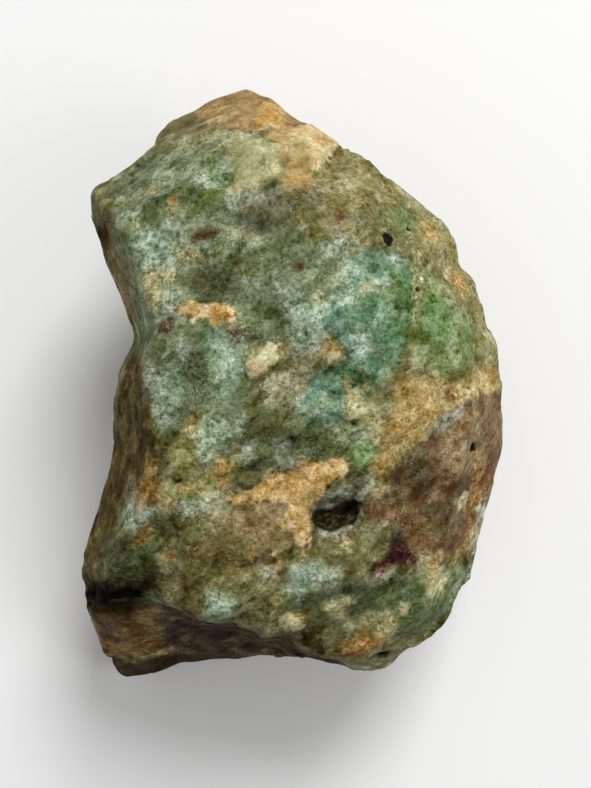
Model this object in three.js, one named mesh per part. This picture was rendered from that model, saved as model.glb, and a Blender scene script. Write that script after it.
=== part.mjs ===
// A rough, hand-sized lump of amazonite, the green microcline feldspar: one broken piece, with
// worn cleavage faces on its crown, a weathered cap at one end, an undercut foot at the other,
// and a flat cleavage back that it lies on.
// Millimetres, +Z up. The origin is on the resting face, under the middle of the lump.
// +Y runs along the lump to its cap, and +X to its long convex side.

import * as THREE from "three";
import { ImprovedNoise } from "three/addons/math/ImprovedNoise.js";
import { mergeVertices } from "three/addons/utils/BufferGeometryUtils.js";

const STONE_COLOUR = 0x6f7f5c;

// ---------------------------------------------------------------- driving sizes
const CROWN_HEIGHT = 50; // top of the crown above the resting face
const REACH = 62; // farther from the middle than any point of the lump
const HEART = new THREE.Vector3(0, -1, 21); // every point of the surface is seen from here
const DETAIL = 19; // 20 * (DETAIL + 1)^2 triangles
const EDGE_ROUNDING = 1.2; // how widely two faces blend into each other where they meet
const GRID_STEP = 0.5; // spacing at which the heights of the faces are worked out

// The girdle is the widest outline, clockwise from the cap. Each corner has its place and height,
// the steepness of the flank above it, and the steepness of the side below it.
const GIRDLE = [
  // cap
  [-7.5, 48, 24, 1.9, 2.2], [-2.5, 46, 25, 1.9, 2.2], [0.5, 42.5, 28, 2.2, 2.4],
  [4.5, 40, 30, 2.2, 2.4], [7.5, 36.5, 32, 1.6, 2.6],
  // convex side, with its stepped cleavage edges
  [10, 36, 32, 1.6, 2.6], [18.5, 30, 30, 1.8, 2.6], [24.6, 25.6, 28, 2, 2.6],
  [26.2, 22.5, 28, 2.2, 2.8], [26.5, 19, 28, 2, 2.8], [29, 16.5, 27, 2.2, 2.8],
  [31, 9, 26, 2.6, 2.8], [32.5, 6.5, 26, 2.6, 2.8], [33.5, 0, 25, 2.8, 2.6],
  [34, -9.5, 24, 2.8, 2.4], [32.5, -16, 24, 2.6, 2.4], [30.5, -22.5, 24, 2.4, 2.4],
  [29, -32, 24, 2.2, 2.4],
  // lower corner
  [27, -33.5, 28, 1.8, 2.4], [22.5, -38.5, 30, 1.8, 2.4], [15.5, -44.5, 30, 1.8, 2.4],
  [12.5, -45.5, 29, 2, 2.4], [9.5, -46, 26, 3, 2.4], [7.5, -46, 20, 4, 2.2],
  // foot
  [2.5, -46.5, 12, 5, 1.8], [-6.5, -46.8, 9, 5, 1.6], [-17.5, -50, 8, 5, 1.6],
  [-21, -48.6, 8, 5, 1.6], [-26, -52.4, 7, 5, 1.6], [-30.5, -53, 7, 5, 1.6],
  [-32, -49, 8, 5, 1.6], [-32.8, -41.5, 17, 4, 2.2],
  // concave side
  [-34.5, -35, 24, 3, 2.4], [-34, -28.5, 26, 2.4, 2.6], [-31.5, -19.5, 25, 2.4, 2.8],
  [-29, -10.5, 24, 2.8, 2.8], [-29, -3, 25, 2.8, 2.8], [-28, 2.5, 26, 3, 2.8],
  [-25, 7.5, 28, 4, 3], [-27.5, 14.5, 28, 3.2, 3], [-30.5, 21, 29, 3, 3],
  [-31.5, 26.5, 31, 3, 3], [-31.5, 30, 33, 2.6, 3], [-30, 31.5, 34, 2.4, 3],
  [-22.5, 36.5, 35, 2, 3], [-21.8, 40, 29, 1.6, 2.8], [-17.5, 43, 27, 1.7, 2.6],
  [-12, 46.5, 25, 1.9, 2.2],
];

// Cleavage faces of the crown: a point on each, and how much it falls per millimetre towards
// +X and +Y. The crown is what lies under all of them.
const CROWN_FACES = [
  { name: "centre", at: [0, 10, 50], fall: [0.03, 0.02] },
  { name: "upper left", at: [-12, 24, 49.2], fall: [-0.36, 0.24] },
  { name: "top", at: [-4, 30, 48.4], fall: [-0.02, 0.42] },
  { name: "upper right", at: [9, 25, 47.2], fall: [0.5, 0.42] },
  { name: "right", at: [15, 8, 48], fall: [0.6, 0.05] },
  { name: "right edge", at: [25, 4, 42.5], fall: [1.15, 0.1] },
  { name: "quartz side", at: [12, -9, 48], fall: [0.5, -0.2] },
  { name: "belly", at: [0, -8, 49.5], fall: [0.02, -0.16] },
  { name: "lower", at: [5, -28, 46], fall: [0.12, -0.6] },
  { name: "lower corner", at: [20, -30, 42], fall: [0.8, -0.5] },
  { name: "lower left", at: [-16, -21, 46.6], fall: [-0.5, -0.2] },
  { name: "left", at: [-20, -3, 47.4], fall: [-0.28, 0] },
];

// Cleavage faces of the flanks: a point on each, the way it looks out in degrees from +X, and how
// many degrees it leans back.
const FLANK_FACES = [
  { name: "right", at: [33.2, 3, 25], looks: 8, leans: 22 },
  { name: "upper right", at: [22.5, 27.5, 29], looks: 45, leans: 32 },
  { name: "cap", at: [-4, 46.6, 26], looks: 84, leans: 30 },
  { name: "cap shoulder", at: [-19.6, 42, 29], looks: 126, leans: 36 },
  { name: "lower left", at: [-34.6, -30, 25], looks: 190, leans: 28 },
  { name: "lower right", at: [20, -41.8, 30], looks: 305, leans: 32 },
  { name: "quartz", at: [31.6, -19, 24], looks: 344, leans: 26 },
];

// Fracture faces of the underside: the way each one looks out in degrees from +X, how far from
// the origin it leaves the resting face, and how steeply it climbs to the girdle.
const UNDER_FACES = [
  { name: "right", looks: -8, from: 20.5, climbs: 1.4 },
  { name: "upper right", looks: 38, from: 17.5, climbs: 1.5 },
  { name: "cap side", looks: 70, from: 29, climbs: 1.5 },
  { name: "cap back", looks: 112, from: 37, climbs: 2 },
  { name: "upper left", looks: 150, from: 24, climbs: 1.6 },
  { name: "lower left", looks: 204, from: 46, climbs: 1.6 },
  { name: "lower right", looks: 310, from: 30.5, climbs: 1.5 },
  { name: "quartz back", looks: 334, from: 26, climbs: 1.4 },
];

// The brow is the lower edge of the crown. Beyond it the foot lies deeper, in its shade.
const BROW = [
  [-60, -34.5], [-33, -34], [-26, -32.5], [-20, -31.6], [-16, -33], [-13.5, -34.4],
  [-10.5, -35], [-8.6, -34.4], [-7, -36], [-4, -37.6], [-1, -37.2], [1.5, -39.5],
  [5, -42.6], [7.6, -44.4], [8, -60],
];
const BROW_STEEPNESS = 3.4;
const FOOT_FACES = [
  { name: "sole", at: [-10, -40, 24], fall: [0.02, -1.7] },
  { name: "heel", at: [-26, -38, 28], fall: [-0.5, -1.3] },
];
// The lip of the foot ends in a step, and a thin wedge goes on below it.
const LIP = [[-40, -45.4], [-31, -45.4], [-24, -45.8], [-19, -44.8], [-12, -46], [0, -50]];
const LIP_STEEPNESS = 3;
const WEDGE_HEIGHT = 9.5;

// Ledges: a line along the surface, the drop on its right-hand side as it is walked, and how
// far the drop takes to rise back to the face.
const LEDGES = [
  {
    name: "lobe lip",
    along: [[2.5, 27.2], [1, 28.4], [-2.6, 29.4], [-4.4, 28.3], [-10, 27.8]],
    drop: 2.1,
    reach: 8,
  },
  { name: "cap knob", along: [[9, 34.4], [6.8, 33.4], [1.9, 30.4]], drop: 2, reach: 9 },
  { name: "quartz edge", along: [[12.5, -9], [21, -4.5], [31, 0.8]], drop: 1, reach: 13 },
  { name: "lower ridge", along: [[4, -27], [14, -26.6], [25, -26.4]], drop: -0.9, reach: 6 },
];

const LEDGE_WIDTH = 1.6; // how far a ledge takes to drop

// Troughs: a crease between two slopes, given as its depth and the width of each slope. The
// first width is to the left as it is walked.
const TROUGHS = [
  {
    name: "ochre vein",
    along: [[-9, -14.6], [-3, -12.4], [4, -10.8], [8, -10.4]],
    depth: 2.5,
    widths: [6, 4.6],
  },
  { name: "brow shade", along: [[-29, -31], [-23, -30.6], [-17, -29.4]], depth: 1.6, widths: [3, 4] },
  { name: "cap seam", along: [[-1.4, 37], [0.6, 40], [1, 43]], depth: 1.2, widths: [2.4, 2.4] },
  { name: "front seam", along: [[-21, 35.6], [-13, 37.6], [-2, 37]], depth: 0.9, widths: [2.2, 2.6] },
];

// Hollows are negative and lumps positive: place, half sizes, turn in degrees, and height.
const CROWN_BUMPS = [
  { name: "black pit", at: [6.4, -18.6], half: [3.9, 2.1], turn: 14, height: -3.8 },
  { name: "pit shoulder", at: [7.6, -15.4], half: [5, 2.6], turn: 24, height: -1.1 },
  { name: "rust notch", at: [13.6, -25], half: [2.6, 2.2], turn: 30, height: -1.9 },
  { name: "dark dish", at: [-10.5, 14], half: [6, 4], turn: -12, height: -1.2 },
  { name: "grey dish", at: [-3.5, 24.6], half: [6, 4.5], turn: 10, height: -1.1 },
  { name: "mid dish", at: [-2, 9.8], half: [5, 3.4], turn: 40, height: -0.9 },
  { name: "pale nodule", at: [-4.3, 3.4], half: [2.8, 2.4], turn: 40, height: 1.3 },
  { name: "lip nodule", at: [-10.6, -32.4], half: [3.6, 2.6], turn: 0, height: 1.4 },
  { name: "second lip nodule", at: [-3, -34.6], half: [4.2, 2.6], turn: -8, height: 1 },
  { name: "cap knob", at: [4.6, 34.6], half: [4.6, 3.8], turn: -35, height: 1.6 },
  { name: "cap peak", at: [-6.5, 43.4], half: [7, 4], turn: -8, height: 1.6 },
  { name: "cap tail", at: [-17, 40.4], half: [4.4, 2.2], turn: 35, height: 0.8 },
  { name: "left swell", at: [-18, -14], half: [6, 8], turn: 10, height: 0.8 },
  { name: "white corner", at: [-23.6, -18.6], half: [3, 3.4], turn: 0, height: 0.9 },
  { name: "tan streak", at: [-11.2, 10.6], half: [3.6, 1.3], turn: -6, height: 0.7 },
  { name: "grey facet", at: [0.4, -0.4], half: [3.4, 5], turn: -24, height: -0.8 },
  { name: "quartz rise", at: [22, -9], half: [7, 4], turn: 28, height: 0.9 },
  { name: "quartz dish", at: [19, -17.4], half: [6, 3], turn: 12, height: -1.3 },
];
const FOOT_BUMPS = [
  { name: "heel knob", at: [-27.5, -40.5], half: [4.2, 3.6], turn: -20, height: 2 },
  { name: "sole hollow", at: [-12, -41], half: [6, 3], turn: 0, height: -1.6 },
];

// Uneven growth and wear, in three sizes of lump: how wide and how high.
const WEAR = [
  { width: 16, height: 1 },
  { width: 8, height: 0.6 },
  { width: 4, height: 0.22 },
];
const UNDERSIDE_WEAR = 1.5; // the underside is rougher than the crown by this much

// ---------------------------------------------------------------- heights of the faces
const perlin = new ImprovedNoise();

const smoothMin = (a, b, width) => {
  const h = Math.max(width - Math.abs(a - b), 0) / width;
  return Math.min(a, b) - (h * h * width) / 4;
};

const smoothMax = (a, b, width) => -smoothMin(-a, -b, width);

const smoothStep = (t) => {
  const u = THREE.MathUtils.clamp(t, 0, 1);
  return u * u * (3 - 2 * u);
};

// The nearest place on a chain of corners: its distance, its segment, how far along that
// segment, which side it is passed on (+1 on the left as the chain is walked), and how far
// beyond the end of the chain it lies.
function nearestOn(chain, x, y, closed = false) {
  let best = { distance: Infinity };
  const count = closed ? chain.length : chain.length - 1;
  for (let i = 0; i < count; i++) {
    const a = chain[i];
    const b = chain[(i + 1) % chain.length];
    const dx = b[0] - a[0];
    const dy = b[1] - a[1];
    const along = ((x - a[0]) * dx + (y - a[1]) * dy) / (dx * dx + dy * dy);
    const t = THREE.MathUtils.clamp(along, 0, 1);
    const distance = Math.hypot(x - a[0] - t * dx, y - a[1] - t * dy);
    if (distance < best.distance) {
      const side = Math.sign(dx * (y - a[1]) - dy * (x - a[0])) || 1;
      const past = Math.abs(along - t) * Math.hypot(dx, dy);
      best = { distance, a, b, t, side, past };
    }
  }
  return best;
}

function isInside(chain, x, y) {
  let inside = false;
  for (let i = 0, j = chain.length - 1; i < chain.length; j = i++) {
    const [xi, yi] = chain[i];
    const [xj, yj] = chain[j];
    if (yi > y !== yj > y && x < ((xj - xi) * (y - yi)) / (yj - yi) + xi) inside = !inside;
  }
  return inside;
}

// How far a point lies to the right of a chain as it is walked.
function distanceBelow(chain, x, y) {
  const near = nearestOn(chain, x, y);
  return -near.side * near.distance;
}

const planeHeight = (face, x, y) =>
  face.at[2] - face.fall[0] * (x - face.at[0]) - face.fall[1] * (y - face.at[1]);

const underAll = (faces, x, y) =>
  faces.reduce((low, face) => smoothMin(low, planeHeight(face, x, y), EDGE_ROUNDING), REACH);

function ledgeHeight(ledge, x, y) {
  const near = nearestOn(ledge.along, x, y);
  if (near.side > 0 || near.distance > ledge.reach) return 0;
  const ends = 1 - smoothStep(near.past / (0.4 * ledge.reach));
  const rise = 1 - smoothStep(near.distance / ledge.reach);
  const cliff = smoothStep(near.distance / LEDGE_WIDTH);
  return -ledge.drop * ends * rise * cliff;
}

function troughHeight(trough, x, y) {
  const near = nearestOn(trough.along, x, y);
  const width = near.side > 0 ? trough.widths[0] : trough.widths[1];
  const ends = 1 - smoothStep(near.past / width);
  return -trough.depth * ends * Math.max(0, 1 - near.distance / width);
}

function bumpHeight(bump, x, y) {
  const turn = THREE.MathUtils.degToRad(bump.turn);
  const dx = x - bump.at[0];
  const dy = y - bump.at[1];
  const u = (dx * Math.cos(turn) + dy * Math.sin(turn)) / bump.half[0];
  const v = (dy * Math.cos(turn) - dx * Math.sin(turn)) / bump.half[1];
  return bump.height * (1 - smoothStep(Math.hypot(u, v) / 1.4));
}

const sumOf = (items, heightOf, x, y) =>
  items.reduce((sum, item) => sum + heightOf(item, x, y), 0);

// The flank above the girdle, or the side below it, carried inwards from the nearest corner.
function fromGirdle(x, y, rises) {
  const near = nearestOn(GIRDLE, x, y, true);
  const inward = isInside(GIRDLE, x, y) ? near.distance : -near.distance;
  const [height, flank, tuck] = [2, 3, 4].map((k) => THREE.MathUtils.lerp(near.a[k], near.b[k], near.t));
  return rises ? height + flank * inward : height - tuck * inward;
}

function topHeight(x, y) {
  const faces = Math.min(underAll(CROWN_FACES, x, y), CROWN_HEIGHT);
  const relief =
    sumOf(LEDGES, ledgeHeight, x, y) +
    sumOf(TROUGHS, troughHeight, x, y) +
    sumOf(CROWN_BUMPS, bumpHeight, x, y);
  const crown = faces + relief;
  const sole = underAll(FOOT_FACES, x, y) + sumOf(FOOT_BUMPS, bumpHeight, x, y);
  const lip = sole - LIP_STEEPNESS * Math.max(0, distanceBelow(LIP, x, y));
  const foot = Math.max(lip, Math.min(sole, WEDGE_HEIGHT));
  const brow = crown - BROW_STEEPNESS * Math.max(0, distanceBelow(BROW, x, y));
  const front = Math.max(brow, Math.min(crown, foot));
  return smoothMin(front, fromGirdle(x, y, true), EDGE_ROUNDING);
}

function bottomHeight(x, y) {
  return UNDER_FACES.reduce((high, face) => {
    const looks = THREE.MathUtils.degToRad(face.looks);
    const out = x * Math.cos(looks) + y * Math.sin(looks) - face.from;
    return smoothMax(high, out * face.climbs, EDGE_ROUNDING);
  }, fromGirdle(x, y, false));
}

// Heights worked out once on a square grid, and read between its points.
class HeightGrid {
  constructor(heightAt) {
    this.count = Math.round((2 * REACH) / GRID_STEP) + 1;
    this.heights = new Float64Array(this.count ** 2);
    for (let i = 0; i < this.count; i++)
      for (let j = 0; j < this.count; j++)
        this.heights[i * this.count + j] = heightAt(i * GRID_STEP - REACH, j * GRID_STEP - REACH);
  }

  at(x, y) {
    const u = THREE.MathUtils.clamp((x + REACH) / GRID_STEP, 0, this.count - 1.001);
    const v = THREE.MathUtils.clamp((y + REACH) / GRID_STEP, 0, this.count - 1.001);
    const corner = Math.floor(u) * this.count + Math.floor(v);
    const [low, high] = [corner, corner + this.count].map((k) =>
      THREE.MathUtils.lerp(this.heights[k], this.heights[k + 1], v % 1),
    );
    return THREE.MathUtils.lerp(low, high, u % 1);
  }
}

const top = new HeightGrid(topHeight);
const bottom = new HeightGrid(bottomHeight);
const flanks = FLANK_FACES.map(({ at, looks, leans }) => {
  const [turn, lean] = [looks, leans].map(THREE.MathUtils.degToRad);
  const level = Math.cos(lean);
  const normal = new THREE.Vector3(level * Math.cos(turn), level * Math.sin(turn), Math.sin(lean));
  return new THREE.Plane().setFromNormalAndCoplanarPoint(normal, new THREE.Vector3(...at));
});

// ---------------------------------------------------------------- the lump as a solid
function wearHeight({ x, y, z }) {
  let height = 0;
  for (const [i, lump] of WEAR.entries())
    height += lump.height * perlin.noise(x / lump.width + 7.3 * i, y / lump.width, z / lump.width + 3.1);
  return height;
}

// How far a point is from being inside: negative in the stone, positive in the air.
function depthOutside(p) {
  const wear = wearHeight(p);
  const above = p.z - top.at(p.x, p.y) - wear;
  const below = bottom.at(p.x, p.y) - p.z - UNDERSIDE_WEAR * wear;
  const beyond = Math.max(...flanks.map((face) => face.distanceToPoint(p))) - wear;
  return Math.max(above, below, beyond, -p.z);
}

// The point of the surface that is seen from the heart in a direction.
function surfaceAlong(direction) {
  const point = new THREE.Vector3();
  let near = 0;
  let far = REACH;
  while (far - near > 0.004) {
    const middle = (near + far) / 2;
    point.copy(direction).multiplyScalar(middle).add(HEART);
    if (depthOutside(point) > 0) far = middle;
    else near = middle;
  }
  return point;
}

function neighboursOf(index, count) {
  const sets = Array.from({ length: count }, () => new Set());
  for (let i = 0; i < index.length; i += 3)
    for (let k = 0; k < 3; k++) {
      sets[index[i + k]].add(index[i + ((k + 1) % 3)]);
      sets[index[i + k]].add(index[i + ((k + 2) % 3)]);
    }
  return sets.map((set) => [...set]);
}

// Lets the points slide over the surface until they lie evenly, closer on the crown.
function spreadEvenly(points, neighbours, rounds) {
  for (let round = 0; round < rounds; round++)
    points = points.map((point, i) => {
      const sum = new THREE.Vector3();
      let total = 0;
      for (const j of neighbours[i]) {
        const pull = 1 + 1.1 * smoothStep(((point.z + points[j].z) / 2 - 14) / 22);
        sum.addScaledVector(points[j], pull);
        total += pull;
      }
      return surfaceAlong(sum.divideScalar(total).lerp(point, 0.3).sub(HEART).normalize());
    });
  return points;
}

// The surface and the way it looks out, in a direction from the heart.
function faceAt(direction) {
  const side = new THREE.Vector3(0.31, 0.77, 0.55).cross(direction).normalize();
  const up = new THREE.Vector3().crossVectors(direction, side);
  const step = 0.006;
  const here = surfaceAlong(direction);
  const right = surfaceAlong(direction.clone().addScaledVector(side, step).normalize());
  const above = surfaceAlong(direction.clone().addScaledVector(up, step).normalize());
  const normal = right.sub(here).cross(above.sub(here)).normalize();
  return { here, normal };
}

// Moves each point on to the edge or corner where the faces round it meet, so that edges stay
// crisp between points.
function snapToEdges(points, neighbours) {
  return points.map((point, i) => {
    const planes = neighbours[i].map((j) =>
      faceAt(point.clone().lerp(points[j], 0.4).sub(HEART).normalize()),
    );
    const moved = point.clone();
    for (let step = 0; step < 8; step++) {
      const shift = new THREE.Vector3();
      for (const { here, normal } of planes)
        shift.addScaledVector(normal, -moved.clone().sub(here).dot(normal) / planes.length);
      moved.addScaledVector(shift, 1.4);
    }
    const shortest = Math.min(...neighbours[i].map((j) => point.distanceTo(points[j])));
    return moved.sub(point).clampLength(0, 0.4 * shortest).add(point);
  });
}

function makeStone() {
  const ball = new THREE.IcosahedronGeometry(1, DETAIL);
  ball.deleteAttribute("normal");
  ball.deleteAttribute("uv");
  const geometry = mergeVertices(ball, 1e-5);
  const place = geometry.getAttribute("position");
  const neighbours = neighboursOf(geometry.index.array, place.count);
  let points = [];
  for (let i = 0; i < place.count; i++)
    points.push(surfaceAlong(new THREE.Vector3().fromBufferAttribute(place, i).normalize()));
  points = spreadEvenly(points, neighbours, 40);
  points = snapToEdges(points, neighbours);
  points.forEach((p, i) => place.setXYZ(i, p.x, p.y, p.z < 0.3 ? 0 : p.z));
  geometry.computeBoundingBox();
  const middle = geometry.boundingBox.getCenter(new THREE.Vector3());
  geometry.translate(-middle.x, -middle.y, 0);
  geometry.computeVertexNormals();
  return geometry;
}

const stone = new THREE.Mesh(
  makeStone(),
  new THREE.MeshStandardMaterial({ color: STONE_COLOUR, roughness: 0.55, metalness: 0 }),
);
stone.name = "amazonite";

const specimen = new THREE.Group();
specimen.add(stone);

export default specimen;
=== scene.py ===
import bmesh
import bpy
import numpy as np
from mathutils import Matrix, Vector, noise


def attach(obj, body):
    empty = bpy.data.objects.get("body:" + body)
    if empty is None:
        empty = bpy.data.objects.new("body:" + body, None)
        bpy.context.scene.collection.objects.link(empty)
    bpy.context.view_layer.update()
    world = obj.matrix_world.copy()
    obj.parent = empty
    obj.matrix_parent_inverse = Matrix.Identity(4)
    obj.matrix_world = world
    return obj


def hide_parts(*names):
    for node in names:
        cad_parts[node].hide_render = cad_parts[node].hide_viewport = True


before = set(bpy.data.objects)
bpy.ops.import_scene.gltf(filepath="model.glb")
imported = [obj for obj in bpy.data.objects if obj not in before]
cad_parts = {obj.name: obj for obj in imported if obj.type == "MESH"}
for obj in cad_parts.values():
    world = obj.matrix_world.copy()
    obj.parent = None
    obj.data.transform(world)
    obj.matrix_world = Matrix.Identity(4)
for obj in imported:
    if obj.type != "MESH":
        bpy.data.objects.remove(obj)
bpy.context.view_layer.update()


# ---------------------------------------------------------------- the lump --
# One solid piece of massive feldspar, broken out of its vein along cleavage
# faces and then rounded by wear. Quartz, a crumbling ochre vein and small pits
# are grown into it, so its colour and its relief come from the same patches.

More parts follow.
